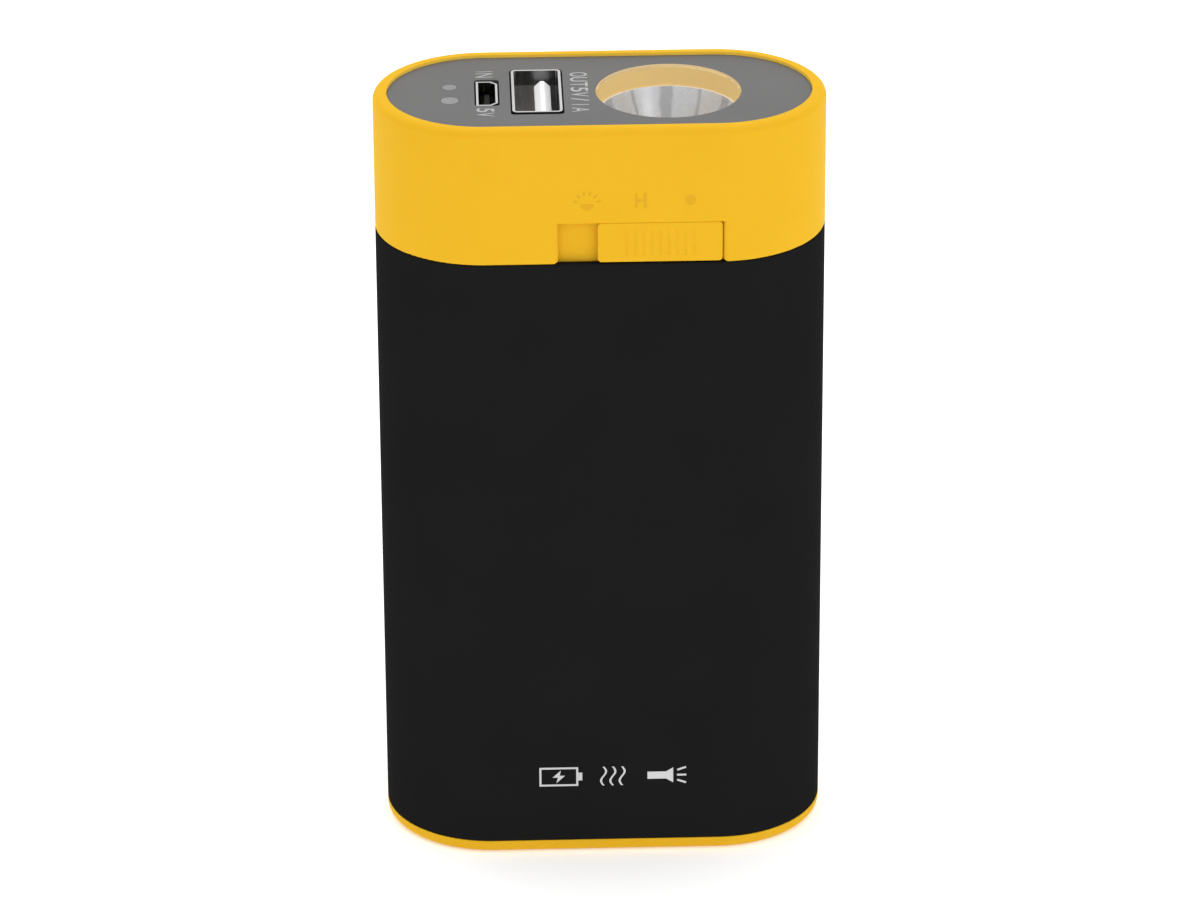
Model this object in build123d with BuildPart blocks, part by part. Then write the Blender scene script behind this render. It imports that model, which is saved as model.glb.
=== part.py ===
"""Pocket power bank with a hand warmer and a torch, as an assembly of separate pieces.

A yellow head and a yellow base cap close a black aluminium tube of stadium section. Two 18650 cells
stand in a chassis inside the tube, with a heater film on each flat wall. The head carries the board,
the output and input sockets, the torch, two light pipes and a three-position slide switch.

Millimetres, +Z up. The origin is the middle of the base's underside, and the switch faces -Y.
"""

from build123d import *
import os

os.makedirs("parts", exist_ok=True)

# ---------------------------------------------------------------- overall sizes
body_width = 52.0  # X, over the two round ends
body_depth = 25.4  # Y, front to back
overall_height = 92.5
head_height = 16.4  # the yellow head, from the tube to the rim
base_flange_height = 1.6  # the yellow band that shows under the tube
tube_wall = 1.0

# ---------------------------------------------------------------- housing details
base_edge_radius = 1.1
base_floor = 2.0
head_wall = 1.8
head_rim_radius = 0.9
head_lip_radius = 0.3
deck_thickness = 1.6
skirt_wall = 1.2
skirt_depth = 4.0  # how far head and base reach into the tube
skirt_overlap = 1.0  # how far the head's skirt runs up inside its own wall
plug_clearance = 0.15  # skirt to tube
chassis_clearance = 0.15  # chassis to skirt
tube_edge = 0.15

# ---------------------------------------------------------------- top panel
rim_width = 1.6
panel_recess = 0.35
panel_thickness = 0.3
adhesive_thickness = 0.1
panel_clearance = 0.05
adhesive_inset = 0.4

# ---------------------------------------------------------------- torch
torch_x = 7.9
torch_window = 16.7  # the hole in the panel
torch_ledge = 0.2  # how far the deck reaches inside that hole, to carry the lens
reflector_rim_drop = 2.6  # panel's face to the reflector's rim
reflector_lap = 0.6  # the reflector's rim beyond the well's wall
reflector_lip = 0.25  # the bright rim inside the well's wall
reflector_throat = 5.8
reflector_wall = 0.7
reflector_rim_height = 0.8
reflector_clearance = 0.08
torch_boss_wall = 1.0
torch_boss_depth = 4.5  # how far the boss reaches below the deck
led_board_diameter = 10.4
led_board_thickness = 1.0
solder_notch_radius = 0.9
led_size = 3.5
led_corner = 0.3
led_thickness = 0.8
led_dome_radius = 1.4
spacer_outer = 8.4
spacer_inner = 5.4
spacer_height = 1.6

# ---------------------------------------------------------------- output socket, USB-A size
out_x = -7.2
out_y = 0.3
out_shell_x = 5.7
out_shell_y = 13.1
out_shell_sheet = 0.3
out_shell_radius = 0.6
out_stand_proud = 0.1  # above the panel's face
out_tongue_x = 1.84
out_tongue_y = 11.1
out_tongue_shift = 0.72
out_tongue_drop = 0.75  # below the shell's mouth
out_tongue_corner = 0.75
out_tongue_chamfer = 0.7
out_block_height = 5.0
out_contact_offsets = (-3.5, -1.0, 1.0, 3.5)
out_contact_width = 1.0
out_contact_thickness = 0.25
out_contact_drop = 0.9  # below the tongue's end
out_leg_width = 1.8
out_leg_depth = 2.4
out_leg_clearance = 0.1
spring_width = 1.6
spring_length = 4.2
spring_drop = 2.6  # shell's mouth to the spring's window
spring_offset = 3.2

# ---------------------------------------------------------------- input socket, micro-B size
in_x = -12.9
in_shell_x = 2.45
in_shell_y = 7.4
in_shell_sheet = 0.25
in_shell_chamfer = 0.75
in_set_back = 0.05  # below the panel's face
in_shell_height = 6.0
in_tongue_x = 0.6
in_tongue_y = 3.7
in_tongue_drop = 0.9
in_contact_pitch = 0.65
in_contact_width = 0.3
in_contact_thickness = 0.12

socket_clearance = 0.2  # panel's edge to a socket
slot_room = 0.25  # more room in front of the output socket and behind the input socket
deck_relief = 0.3  # how far the deck's edge stands back from the panel's
slot_corner = 0.5
seal_clearance = 0.05  # seal to socket and to deck

# ---------------------------------------------------------------- indicator lights
light_x = -17.15
charge_light_y = 2.0
charge_light_diameter = 1.7
power_light_y = -2.1
power_light_diameter = 2.1
light_clearance = 0.05
light_flange = 0.35
light_flange_height = 0.6
light_gap = 0.25  # light pipe to its lamp
lamp_chip_x = 1.6
lamp_chip_y = 1.2
lamp_chip_height = 0.7

# ---------------------------------------------------------------- slide switch
switch_x = 4.25  # middle of its travel
switch_pitch = 2.2
switch_travel = 2 * switch_pitch
knob_width = 14.2
knob_height = 4.8
knob_end_gap = 0.05
knob_top_gap = 0.05
knob_bottom_gap = 0.2
knob_corner = 0.45
knob_edge = 0.1
notch_depth = 1.05
knob_back_gap = 0.08
knob_flush_drop = 0.05
stem_width = 5.0
stem_height = 2.4
stem_clearance = 0.15
rib_count = 9
rib_pitch = 0.95
rib_width = 0.3
rib_depth = 0.04
rib_length = 3.2
lip_corner = 0.6
switch_length = 12.7
switch_depth = 4.4
switch_height = 3.6
switch_sheet = 0.3
switch_front_gap = 0.8  # notch floor's inside to the switch's frame
lever_width = 2.0
lever_height = 1.6
lever_clearance = 0.1
carriage_width = 5.5
carriage_depth = 1.3
carriage_gap = 0.1
bridge_thickness = 0.3
bridge_width = 3.4
bridge_height = 1.4
switch_pin_width = 0.5
switch_pin_pitch = 2.6

# ---------------------------------------------------------------- engraved marks by the switch
mark_depth = 0.05
mark_rise = 2.75  # notch to the middle of the marks
lamp_mark_offset = -6.1  # from the middle of the switch's travel, where the heat mark is
off_mark_offset = 5.65
off_mark_diameter = 1.25
heat_mark_width = 1.3
heat_mark_height = 1.75
heat_mark_stroke = 0.3
lamp_mark_radius = 0.75
lamp_ray_count = 6
lamp_ray_inner = 1.1
lamp_ray_length = 0.5
lamp_ray_width = 0.22

# ---------------------------------------------------------------- board
board_rise = 1.3  # the board's face above the head's lower edge
board_thickness = 1.6
board_clearance = 0.25
coil_place = (-9.5, -5.0)
coil_size = 6.0
coil_corner = 1.0
coil_height = 3.0
chip_places = ((6.5, -5.0), (11.5, 3.5))
chip_length = 4.9
chip_width = 3.9
chip_height = 1.5
capacitor_place = (-9.5, 5.5)
capacitor_pitch = 3.0
capacitor_size = (2.0, 1.3, 1.2)
resistor_place = (13.0, -4.5)
resistor_pitch = 1.7
resistor_size = (1.6, 0.8, 0.5)

# ---------------------------------------------------------------- cells
cell_diameter = 18.2
cell_wrap = 0.1
cell_length = 65.0
cell_gap = 0.4
cell_can_sheet = 0.25
cell_button_radius = 4.0
cell_button_height = 0.6
cell_core_gap = 0.05
tab_thickness = 0.15
tab_length = 27.0
positive_tab_width = 5.0
negative_tab_width = 9.0
cell_end_gap = 0.5
insulator_outer = 8.6
insulator_inner = 4.6
insulator_thickness = 0.3

# ---------------------------------------------------------------- chassis and screws
plate_thickness = 1.5
collar_height = 2.4  # the cup around each end of the cells
collar_gap = 0.15
rail_clearance = 0.3
rail_depth = 12.0
screw_diameter = 2.0
screw_fit = 0.02
screw_head_diameter = 3.8
screw_head_height = 0.9
screw_length = 8.0
screw_free = 0.2  # radial, where a screw passes through
counterbore_clearance = 0.25
counterbore_depth = 1.0
boss_wall = 0.9
boss_floor = 2.4
recess_width = 0.55
recess_depth = 0.5

# ---------------------------------------------------------------- heaters and leads
heater_thickness = 0.25
heater_margin = 1.3  # to each end of the tube's flat
heater_length = 52.0
insulation_thickness = 0.5
insulation_length = 60.0
insulation_width = 30.0
cutout_width = 3.2
cutout_length = 7.0
cutout_thickness = 1.1
heater_lead_diameter = 0.9
heater_lead_spread = 2.2
heater_lead_start = 4.0  # below the film's upper end
heater_lead_bend = 1.0
battery_lead_diameter = 1.3
positive_lead_y = -1.0
negative_lead_y = 3.6
lead_hole_gap = 0.3
lead_notch_width = 4.0
lead_notch_depth = 1.7
lead_inset = 0.75  # lead's axis inside the chassis plate's edge
cutout_x = 8.0

# ---------------------------------------------------------------- worked-out places
front_y = -body_depth / 2
head_base_z = overall_height - head_height
panel_face_z = overall_height - panel_recess
panel_back_z = panel_face_z - panel_thickness
deck_z = panel_back_z - adhesive_thickness
deck_under_z = deck_z - deck_thickness
flat_width = body_width - body_depth

tube_inner_width = body_width - 2 * tube_wall
tube_inner_depth = body_depth - 2 * tube_wall
plug_width = tube_inner_width - 2 * plug_clearance
plug_depth = tube_inner_depth - 2 * plug_clearance
bay_width = plug_width - 2 * skirt_wall
bay_depth = plug_depth - 2 * skirt_wall
chassis_width = bay_width - 2 * chassis_clearance
chassis_depth = bay_depth - 2 * chassis_clearance
pocket_width = body_width - 2 * rim_width
pocket_depth = body_depth - 2 * rim_width

board_z = head_base_z + board_rise  # the board's upper face
board_under_z = board_z - board_thickness
board_width = bay_width - 2 * board_clearance
board_depth = bay_depth - 2 * board_clearance

cell_radius = cell_diameter / 2 + cell_wrap  # over the wrap
cell_x = cell_radius + cell_gap / 2
lower_plate_top = base_floor + plate_thickness
cell_z = lower_plate_top + tab_thickness
cell_top_z = cell_z + cell_length
cell_shoulder_z = cell_top_z - cell_button_height
upper_plate_z = cell_top_z + tab_thickness + cell_end_gap
upper_plate_top = upper_plate_z + plate_thickness
rail_x = cell_x + cell_radius + rail_clearance  # the rail's inner face
screw_x = (rail_x + chassis_width / 2) / 2
screw_hole_radius = screw_diameter / 2 + screw_free
screw_pilot_radius = screw_diameter / 2 + screw_fit
screw_bore_radius = screw_head_diameter / 2 + counterbore_clearance
boss_radius = screw_bore_radius + boss_wall

torch_well = torch_window - 2 * torch_ledge
reflector_outer = torch_well + 2 * reflector_lap
reflector_mouth = torch_well - 2 * reflector_lip
reflector_z = panel_face_z - reflector_rim_drop
led_board_top = board_z + led_board_thickness
reflector_foot_z = led_board_top + spacer_height
torch_bore_radius = reflector_outer / 2 + reflector_clearance
torch_boss_radius = torch_bore_radius + torch_boss_wall

out_mouth_z = panel_face_z + out_stand_proud
in_mouth_z = panel_face_z - in_set_back

knob_off_x = switch_x + switch_pitch  # the knob's middle when the torch and heat are off
notch_width = knob_width + switch_travel + 2 * knob_end_gap
knob_base_z = head_base_z + knob_bottom_gap
knob_mid_z = knob_base_z + knob_height / 2
notch_top_z = knob_base_z + knob_height + knob_top_gap
notch_floor_y = front_y + notch_depth
notch_inside_y = front_y + head_wall
switch_front_y = notch_inside_y + switch_front_gap
switch_back_y = switch_front_y + switch_depth
carriage_front_y = switch_front_y + switch_sheet + carriage_gap
carriage_back_y = carriage_front_y + carriage_depth
bridge_back_y = carriage_back_y + bridge_thickness
switch_base_y = bridge_back_y + carriage_gap
switch_mid_z = board_z + switch_height / 2

heater_face_y = tube_inner_depth / 2 - heater_thickness
heater_z = (cell_z + cell_top_z) / 2
insulation_y = cell_radius
lead_y = chassis_depth / 2 - lead_inset


def finish(piece, label):
    """Name a finished piece and write its STEP file."""
    piece.part.label = label
    export_step(piece.part, f"parts/{label}.step")


def socket_slots(gap, mode=Mode.ADD):
    """The outlines of the two sockets' slots in a sketch, with this gap around each socket."""
    with Locations((out_x, out_y - slot_room / 2)):
        RectangleRounded(
            out_shell_x + 2 * gap, out_shell_y + slot_room + 2 * gap, slot_corner, mode=mode
        )
    with Locations((in_x, slot_room / 2)):
        RectangleRounded(
            in_shell_x + 2 * gap, in_shell_y + slot_room + 2 * gap, slot_corner, mode=mode
        )


# ================================================================ housing

# Base cap: a rounded flange, a skirt that plugs into the tube, and two screw holes
with BuildPart() as base_cap:
    with BuildSketch():
        SlotOverall(body_width, body_depth)
    extrude(amount=base_flange_height)
    fillet(base_cap.edges().group_by(Axis.Z)[0], base_edge_radius)
    with BuildSketch(Plane.XY.offset(base_flange_height)):
        SlotOverall(plug_width, plug_depth)
    extrude(amount=skirt_depth)
    with BuildSketch(Plane.XY.offset(base_floor)):
        SlotOverall(bay_width, bay_depth)
    extrude(amount=skirt_depth, mode=Mode.SUBTRACT)
    with Locations(
        Plane((screw_x, 0, 0), z_dir=(0, 0, -1)), Plane((-screw_x, 0, 0), z_dir=(0, 0, -1))
    ):
        CounterBoreHole(screw_hole_radius, screw_bore_radius, counterbore_depth, base_floor)
finish(base_cap, "base_cap")

# Body tube: an aluminium extrusion, clamped between the base cap and the head
with BuildPart() as body_tube:
    with BuildSketch(Plane.XY.offset(base_flange_height)):
        SlotOverall(body_width, body_depth)
        SlotOverall(tube_inner_width, tube_inner_depth, mode=Mode.SUBTRACT)
    extrude(amount=head_base_z - base_flange_height)
    tube_ends = body_tube.faces().filter_by(Axis.Z)
    chamfer(tube_ends.edges(), tube_edge)
finish(body_tube, "body_tube")

# Head shell: outer wall, deck under the panel, skirt, torch boss and screw bosses
with BuildPart() as head_shell:
    with BuildSketch(Plane.XY.offset(head_base_z)):
        SlotOverall(body_width, body_depth)
    extrude(amount=head_height)
    fillet(head_shell.edges().group_by(Axis.Z)[-1], head_rim_radius)
    fillet(head_shell.edges().group_by(Axis.Z)[0], head_lip_radius)
    with BuildSketch(Plane.XY.offset(head_base_z)):
        SlotOverall(body_width - 2 * head_wall, body_depth - 2 * head_wall)
    extrude(amount=deck_under_z - head_base_z, mode=Mode.SUBTRACT)
    with BuildSketch(Plane.XY.offset(head_base_z - skirt_depth)):
        SlotOverall(plug_width, plug_depth)
        SlotOverall(bay_width, bay_depth, mode=Mode.SUBTRACT)
    extrude(amount=skirt_depth + skirt_overlap)
    # pocket for the panel
    with BuildSketch(Plane.XY.offset(deck_z)):
        SlotOverall(pocket_width, pocket_depth)
    extrude(amount=overall_height - deck_z, mode=Mode.SUBTRACT)
    # torch boss and screw bosses, under the deck
    with BuildSketch(Plane.XY.offset(deck_under_z - torch_boss_depth)):
        with Locations((torch_x, 0)):
            Circle(torch_boss_radius)
    extrude(amount=torch_boss_depth)
    with BuildSketch(Plane.XY.offset(board_z)):
        with Locations((screw_x, 0), (-screw_x, 0)):
            Circle(boss_radius)
    extrude(amount=deck_under_z - board_z)
    # torch: the well over the reflector and the reflector's bore
    with BuildSketch(Plane.XY.offset(reflector_z)):
        with Locations((torch_x, 0)):
            Circle(torch_well / 2)
    extrude(amount=deck_z - reflector_z, mode=Mode.SUBTRACT)
    with BuildSketch(Plane.XY.offset(board_z)):
        with Locations((torch_x, 0)):
            Circle(torch_bore_radius)
    extrude(amount=reflector_z - board_z, mode=Mode.SUBTRACT)
    # screws drop in from the deck and bear on each boss's floor
    with BuildSketch(Plane.XY.offset(board_z + boss_floor)):
        with Locations((screw_x, 0), (-screw_x, 0)):
            Circle(screw_bore_radius)
    extrude(amount=deck_z - board_z - boss_floor, mode=Mode.SUBTRACT)
    with BuildSketch(Plane.XY.offset(board_z)):
        with Locations((screw_x, 0), (-screw_x, 0)):
            Circle(screw_hole_radius)
    extrude(amount=boss_floor, mode=Mode.SUBTRACT)
    # socket and light openings in the deck
    with BuildSketch(Plane.XY.offset(deck_under_z)):
        socket_slots(socket_clearance + deck_relief)
        with Locations((light_x, charge_light_y)):
            Circle(charge_light_diameter / 2 + light_clearance)
        with Locations((light_x, power_light_y)):
            Circle(power_light_diameter / 2 + light_clearance)
    extrude(amount=deck_thickness, mode=Mode.SUBTRACT)
    # notch for the knob, open at the bottom, with the stem's slot behind it
    with BuildSketch(Plane.XZ.offset(-notch_floor_y)):
        with Locations((switch_x, (head_base_z + notch_top_z) / 2)):
            Rectangle(notch_width, notch_top_z - head_base_z)
    extrude(amount=notch_depth, mode=Mode.SUBTRACT)
    with BuildSketch(Plane.XZ.offset(-notch_inside_y)):
        with Locations((switch_x, switch_mid_z)):
            Rectangle(
                stem_width + switch_travel + 2 * stem_clearance, stem_height + 2 * stem_clearance
            )
    extrude(amount=head_wall, mode=Mode.SUBTRACT)
    lips = (
        head_shell.edges()
        .filter_by(Axis.Y)
        .filter_by_position(Axis.X, switch_x - notch_width, switch_x + notch_width)
        .filter_by_position(Axis.Y, front_y, notch_floor_y)
        .group_by(Axis.Z)[0]
    )
    fillet(lips, lip_corner)
    # marks above the knob: a lamp, a letter for heat and a dot for off
    with BuildSketch(Plane.XZ.offset(-front_y - mark_depth)):
        mark_z = notch_top_z + mark_rise
        with Locations((switch_x + off_mark_offset, mark_z)):
            Circle(off_mark_diameter / 2)
        with Locations((switch_x, mark_z)):
            Rectangle(heat_mark_width, heat_mark_stroke)
            with GridLocations(heat_mark_width - heat_mark_stroke, 0, 2, 1):
                Rectangle(heat_mark_stroke, heat_mark_height)
        with Locations((switch_x + lamp_mark_offset, mark_z - lamp_mark_radius / 2)):
            Circle(lamp_mark_radius)
            with Locations((0, lamp_mark_radius)):
                Rectangle(2 * lamp_mark_radius, 2 * lamp_mark_radius, mode=Mode.SUBTRACT)
            with PolarLocations(
                lamp_ray_inner + lamp_ray_length / 2, lamp_ray_count, 15, 150, endpoint=True
            ):
                Rectangle(lamp_ray_length, lamp_ray_width)
    extrude(amount=mark_depth, mode=Mode.SUBTRACT)
finish(head_shell, "head_shell")


# ================================================================ top panel


def panel_openings(torch_diameter, gap):
    """The panel's openings, as a sketch's cuts. The gap is measured outside each socket and light."""
    with Locations((torch_x, 0)):
        Circle(torch_diameter / 2, mode=Mode.SUBTRACT)
    socket_slots(gap, Mode.SUBTRACT)
    light_gap_here = light_clearance + gap - socket_clearance
    with Locations((light_x, charge_light_y)):
        Circle(charge_light_diameter / 2 + light_gap_here, mode=Mode.SUBTRACT)
    with Locations((light_x, power_light_y)):
        Circle(power_light_diameter / 2 + light_gap_here, mode=Mode.SUBTRACT)


# Grey polycarbonate overlay, set a little below the yellow rim
with BuildPart() as top_panel:
    with BuildSketch(Plane.XY.offset(panel_back_z)):
        SlotOverall(pocket_width - 2 * panel_clearance, pocket_depth - 2 * panel_clearance)
        panel_openings(torch_window, socket_clearance)
    extrude(amount=panel_thickness)
finish(top_panel, "top_panel")

# Adhesive sheet that holds the overlay and the lens on the deck
with BuildPart() as panel_adhesive:
    with BuildSketch(Plane.XY.offset(deck_z)):
        SlotOverall(pocket_width - 2 * adhesive_inset, pocket_depth - 2 * adhesive_inset)
        panel_openings(torch_well, socket_clearance + deck_relief)
    extrude(amount=adhesive_thickness)
finish(panel_adhesive, "panel_adhesive")


# ================================================================ torch

torch_axis = Axis((torch_x, 0, 0), (0, 0, 1))
torch_plane = Plane((torch_x, 0, 0), x_dir=(1, 0, 0), z_dir=(0, -1, 0))

# Clear disc in the panel's hole, flush with the panel and held by the same adhesive sheet
with BuildPart() as torch_lens:
    with BuildSketch(Plane.XY.offset(panel_back_z)):
        with Locations((torch_x, 0)):
            Circle(torch_window / 2 - panel_clearance)
    extrude(amount=panel_thickness)
finish(torch_lens, "torch_lens")


def parabola(mouth_radius, throat_radius, foot_z, rim_z):
    """A parabola from throat to rim, as a Bezier whose middle point is where the ends' tangents meet."""
    four_f = (mouth_radius**2 - throat_radius**2) / (rim_z - foot_z)
    vertex_z = foot_z - throat_radius**2 / four_f
    middle = ((mouth_radius + throat_radius) / 2, vertex_z + mouth_radius * throat_radius / four_f)
    return Bezier((throat_radius, foot_z), middle, (mouth_radius, rim_z))


# Plated parabolic reflector; its rim stops against the head's ledge
with BuildPart() as torch_reflector:
    with BuildSketch(torch_plane):
        with BuildLine():
            rim_radius = reflector_outer / 2
            rim_foot_z = reflector_z - reflector_rim_height
            inner_arc = parabola(
                reflector_mouth / 2, reflector_throat / 2, reflector_foot_z, reflector_z
            )
            outer_arc = parabola(
                reflector_mouth / 2 + reflector_wall / 2,
                reflector_throat / 2 + reflector_wall,
                reflector_foot_z,
                rim_foot_z,
            )
            rim_top = (rim_radius, reflector_z)
            rim_foot = (rim_radius, rim_foot_z)
            Polyline(inner_arc @ 1, rim_top, rim_foot, outer_arc @ 1)
            Line(outer_arc @ 0, inner_arc @ 0)
        make_face()
    revolve(axis=torch_axis)
finish(torch_reflector, "torch_reflector")

# White ring that centres the reflector on the LED board
with BuildPart() as reflector_spacer:
    with BuildSketch(Plane.XY.offset(led_board_top)):
        with Locations((torch_x, 0)):
            Circle(spacer_outer / 2)
            Circle(spacer_inner / 2, mode=Mode.SUBTRACT)
    extrude(amount=spacer_height)
finish(reflector_spacer, "reflector_spacer")

# Metal-core LED board with two solder notches in its edge
with BuildPart() as torch_led_board:
    with BuildSketch(Plane.XY.offset(board_z)):
        with Locations((torch_x, 0)):
            Circle(led_board_diameter / 2)
            with PolarLocations(led_board_diameter / 2, 2):
                Circle(solder_notch_radius, mode=Mode.SUBTRACT)
    extrude(amount=led_board_thickness)
finish(torch_led_board, "torch_led_board")

# LED: a square carrier and a silicone dome
with BuildPart() as torch_led:
    with BuildSketch(Plane.XY.offset(led_board_top)):
        with Locations((torch_x, 0)):
            RectangleRounded(led_size, led_size, led_corner)
    extrude(amount=led_thickness)
finish(torch_led, "torch_led")

with BuildPart() as torch_led_dome:
    with BuildSketch(torch_plane):
        with BuildLine():
            dome_z = led_board_top + led_thickness
            dome = CenterArc((0, dome_z), led_dome_radius, 0, 90)
            Polyline(dome @ 1, (0, dome_z), dome @ 0)
        make_face()
    revolve(axis=torch_axis)
finish(torch_led_dome, "torch_led_dome")


# ================================================================ output socket

# Pressed steel shell with retention springs in its long sides and two solder legs
with BuildPart() as out_shell:
    with BuildSketch(Plane.XY.offset(board_z)):
        with Locations((out_x, out_y)):
            RectangleRounded(out_shell_x, out_shell_y, out_shell_radius)
            RectangleRounded(
                out_shell_x - 2 * out_shell_sheet,
                out_shell_y - 2 * out_shell_sheet,
                out_shell_radius - out_shell_sheet,
                mode=Mode.SUBTRACT,
            )
    extrude(amount=out_mouth_z - board_z)
    with BuildSketch(Plane.YZ.offset(out_x - out_shell_x / 2)):
        window_z = out_mouth_z - spring_drop - spring_length / 2
        with Locations((out_y - spring_offset, window_z), (out_y + spring_offset, window_z)):
            Rectangle(spring_width, spring_length)
            with Locations((0, out_shell_sheet)):
                Rectangle(spring_width / 2, spring_length, mode=Mode.SUBTRACT)
    extrude(amount=out_shell_x, mode=Mode.SUBTRACT)
    with BuildSketch(Plane.XY.offset(board_z - out_leg_depth)):
        with Locations((out_x, out_y)):
            with GridLocations(out_shell_x - out_shell_sheet, 0, 2, 1):
                Rectangle(out_shell_sheet, out_leg_width)
    extrude(amount=out_leg_depth)
finish(out_shell, "out_socket_shell")

# White insulator: a block at the board and the tongue that carries the contacts
tongue_x = out_x + out_tongue_shift
contact_x = tongue_x - out_tongue_x / 2 + out_contact_thickness / 2
tongue_top_z = out_mouth_z - out_tongue_drop
contact_top_z = tongue_top_z - out_contact_drop
contact_places = [(contact_x, out_y + offset_y) for offset_y in out_contact_offsets]
with BuildPart() as out_insulator:
    with BuildSketch(Plane.XY.offset(board_z)):
        with Locations((out_x, out_y)):
            Rectangle(out_shell_x - 2 * out_shell_sheet, out_shell_y - 2 * out_shell_radius)
    extrude(amount=out_block_height)
    with BuildSketch(Plane.XY.offset(board_z + out_block_height)):
        with Locations((tongue_x, out_y)):
            RectangleRounded(out_tongue_x, out_tongue_y, out_tongue_corner)
    extrude(amount=tongue_top_z - board_z - out_block_height)
    tip = out_insulator.edges().group_by(Axis.Z)[-1]
    chamfer(tip.filter_by(Axis.Y).sort_by(Axis.X)[-1], out_tongue_chamfer)
    with BuildSketch(Plane.XY.offset(board_z)):
        with Locations(*contact_places):
            Rectangle(out_contact_thickness, out_contact_width)
    extrude(amount=contact_top_z - board_z, mode=Mode.SUBTRACT)
finish(out_insulator, "out_socket_insulator")

# Four gilt contacts that run from the board up the tongue, let in flush with its face
with BuildPart() as out_contacts:
    with BuildSketch(Plane.XY.offset(board_z)):
        with Locations(*contact_places):
            Rectangle(out_contact_thickness, out_contact_width)
    extrude(amount=contact_top_z - board_z)
finish(out_contacts, "out_socket_contacts")


# ================================================================ input socket


def in_outline(inset):
    """The input socket's outline: a rectangle whose two corners towards +X are cut off."""
    half_x = in_shell_x / 2 - inset
    half_y = in_shell_y / 2 - inset
    cut = in_shell_chamfer - inset / 2
    Polygon(
        (-half_x, -half_y),
        (half_x - cut, -half_y),
        (half_x, -half_y + cut),
        (half_x, half_y - cut),
        (half_x - cut, half_y),
        (-half_x, half_y),
        align=None,
    )


in_plane = Plane((in_x, 0, 0))
in_shell_z = in_mouth_z - in_shell_height
with BuildPart() as in_shell:
    with BuildSketch(in_plane.offset(in_shell_z)):
        in_outline(0)
    extrude(amount=in_shell_height)
    with BuildSketch(in_plane.offset(in_shell_z)):
        in_outline(in_shell_sheet)
    extrude(amount=in_shell_height, mode=Mode.SUBTRACT)
finish(in_shell, "in_socket_shell")

# Raised insulator under the shell, with the tongue
with BuildPart() as in_insulator:
    with BuildSketch(in_plane.offset(board_z)):
        in_outline(0)
    extrude(amount=in_shell_z - board_z)
    with BuildSketch(in_plane.offset(in_shell_z)):
        Rectangle(in_tongue_x, in_tongue_y)
    extrude(amount=in_shell_height - in_tongue_drop)
finish(in_insulator, "in_socket_insulator")

with BuildPart() as in_contacts:
    with BuildSketch(in_plane.offset(in_shell_z)):
        with Locations((-(in_tongue_x + in_contact_thickness) / 2, 0)):
            with GridLocations(0, in_contact_pitch, 1, 5):
                Rectangle(in_contact_thickness, in_contact_width)
    extrude(amount=in_shell_height - 2 * in_tongue_drop)
finish(in_contacts, "in_socket_contacts")

# Black rubber rings that fill the deck's openings around both sockets
with BuildPart() as socket_seals:
    with BuildSketch(Plane.XY.offset(deck_under_z)):
        socket_slots(socket_clearance + deck_relief - seal_clearance)
        with Locations((out_x, out_y)):
            RectangleRounded(
                out_shell_x + 2 * seal_clearance,
                out_shell_y + 2 * seal_clearance,
                out_shell_radius,
                mode=Mode.SUBTRACT,
            )
    extrude(amount=deck_thickness)
    with BuildSketch(in_plane.offset(deck_under_z)):
        in_outline(-seal_clearance)
    extrude(amount=deck_thickness, mode=Mode.SUBTRACT)
finish(socket_seals, "socket_seals")


# ================================================================ indicator lights


def light_pipe(diameter, place_y, label):
    """A frosted rod from the panel's face down to its lamp, with a flange that stops under the deck."""
    foot_z = board_z + lamp_chip_height + light_gap
    with BuildPart() as pipe:
        with BuildSketch(Plane.XY.offset(foot_z)):
            with Locations((light_x, place_y)):
                Circle(diameter / 2)
        extrude(amount=panel_face_z - foot_z)
        with BuildSketch(Plane.XY.offset(deck_under_z - light_flange_height)):
            with Locations((light_x, place_y)):
                Circle(diameter / 2 + light_flange)
        extrude(amount=light_flange_height)
    finish(pipe, label)


light_pipe(charge_light_diameter, charge_light_y, "charge_light_pipe")
light_pipe(power_light_diameter, power_light_y, "power_light_pipe")

with BuildPart() as indicator_lamps:
    with BuildSketch(Plane.XY.offset(board_z)):
        with Locations((light_x, charge_light_y), (light_x, power_light_y)):
            Rectangle(lamp_chip_x, lamp_chip_y)
    extrude(amount=lamp_chip_height)
finish(indicator_lamps, "indicator_lamps")


# ================================================================ slide switch

# Bent steel frame, open at the back, with the lever's slot in its front
with BuildPart() as switch_frame:
    with BuildSketch(Plane.XZ.offset(-switch_back_y)):
        with Locations((switch_x, switch_mid_z)):
            Rectangle(switch_length, switch_height)
    extrude(amount=switch_depth)
    with BuildSketch(Plane.XZ.offset(-switch_back_y)):
        with Locations((switch_x, switch_mid_z)):
            Rectangle(switch_length - 2 * switch_sheet, switch_height - 2 * switch_sheet)
    extrude(amount=switch_depth - switch_sheet, mode=Mode.SUBTRACT)
    with BuildSketch(Plane.XZ.offset(-switch_front_y - switch_sheet)):
        with Locations((switch_x, switch_mid_z)):
            Rectangle(
                lever_width + switch_travel + 2 * lever_clearance,
                lever_height + 2 * lever_clearance,
            )
    extrude(amount=2 * switch_sheet, both=True, mode=Mode.SUBTRACT)
finish(switch_frame, "switch_frame")

with BuildPart() as switch_base:
    with BuildSketch(Plane.XZ.offset(-switch_back_y)):
        with Locations((switch_x, switch_mid_z)):
            Rectangle(switch_length - 2 * switch_sheet, switch_height - 2 * switch_sheet)
    extrude(amount=switch_back_y - switch_base_y)
finish(switch_base, "switch_base")

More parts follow.
